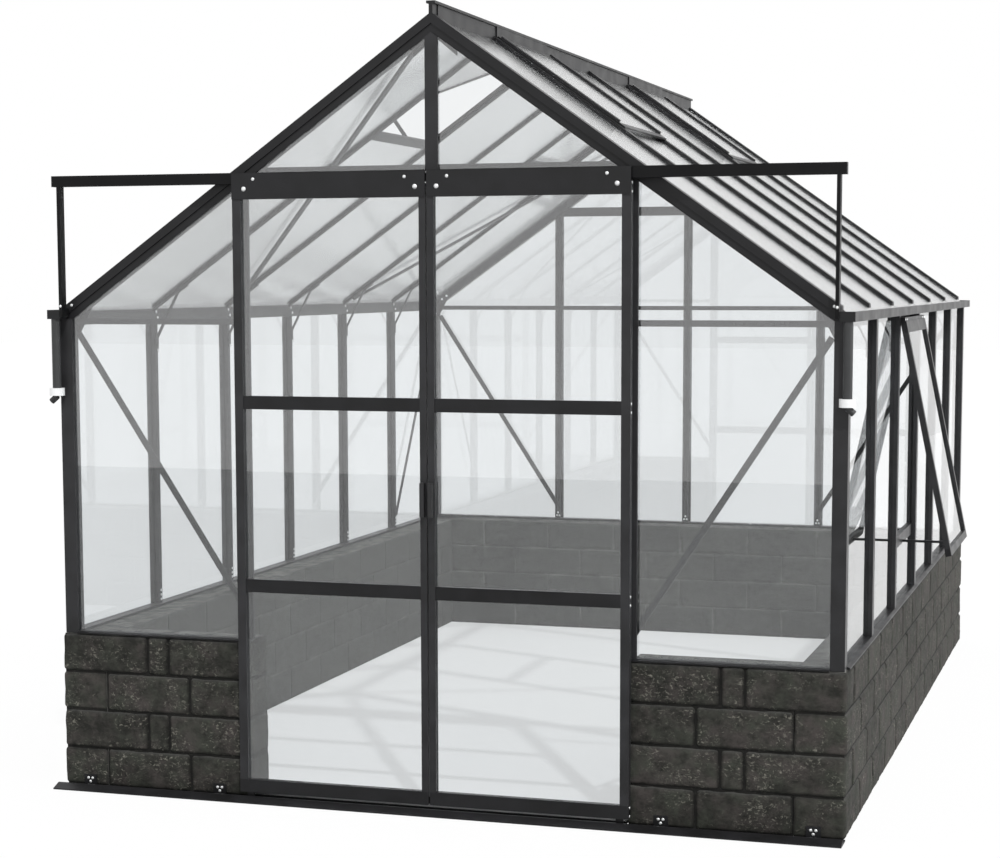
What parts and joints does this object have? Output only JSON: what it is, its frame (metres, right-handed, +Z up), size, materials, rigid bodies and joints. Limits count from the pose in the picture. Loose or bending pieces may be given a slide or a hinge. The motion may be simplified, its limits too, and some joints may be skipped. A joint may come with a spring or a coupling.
{
  "type": "greenhouse",
  "caption": "Glass greenhouse with dark metal glazing bars on a low block wall, double sliding doors in the front gable, roof vents, a top-hung side window and eave gutters",
  "frame": {"origin": "on the ground under the doorway sill plate, in the middle of the doorway and in the plane of the front frame's outer face", "axes": "+X to the right along the front gable as seen from outside, +Y into the house along the ridge, +Z up"},
  "size_m": [2.7367, 3.812, 2.4667],
  "materials": {
    "masonry": "rough split face",
    "frame": "satin powder coat",
    "glass": "clear",
    "pipe": "matt",
    "collar": "matt white",
    "roller": "smooth",
    "handle": "satin"
  },
  "bodies": {
    "house": {"wall_left": "masonry", "wall_right": "masonry", "wall_back": "masonry", "wall_front_left": "masonry", "wall_front_right": "masonry", "threshold_rail": "frame", "sill_rails": "frame", "corner_posts": "frame", "wall_posts": "frame", "gutters": "frame", "downpipes": "pipe", "downpipe_collars": "collar", "gable_rafters": "frame", "front_gable_posts": "frame", "back_gable_posts": "frame", "header_beam": "frame", "tie_rails": "frame", "roof_bars": "frame", "ridge": "frame", "door_track": "frame", "track_struts": "frame", "vent_stiles": "frame", "vent_rails": "frame", "vent_glass": "glass", "vent_trimmers": "frame", "window_stiles": "frame", "window_rails": "frame", "window_glass": "glass", "light_stays": "frame", "side_glass": "glass", "gable_glass": "glass", "roof_glass": "glass", "braces": "frame", "knee_brackets": "frame", "gusset_plates": "frame"},
    "left_door": {"left_door_stiles": "frame", "left_door_rails": "frame", "left_door_header": "frame", "left_door_rollers": "roller", "left_door_glass": "glass", "left_door_handle": "handle"},
    "right_door": {"right_door_stiles": "frame", "right_door_rails": "frame", "right_door_header": "frame", "right_door_rollers": "roller", "right_door_glass": "glass", "right_door_handle": "handle"}
  },
  "joints": [
    {"name": "left_door_slide", "type": "slide", "parent": "house", "child": "left_door", "axis": [-1, 0, 0], "range_m": [0, 0.58]},
    {"name": "right_door_slide", "type": "slide", "parent": "house", "child": "right_door", "axis": [1, 0, 0], "range_m": [0, 0.58]}
  ]
}
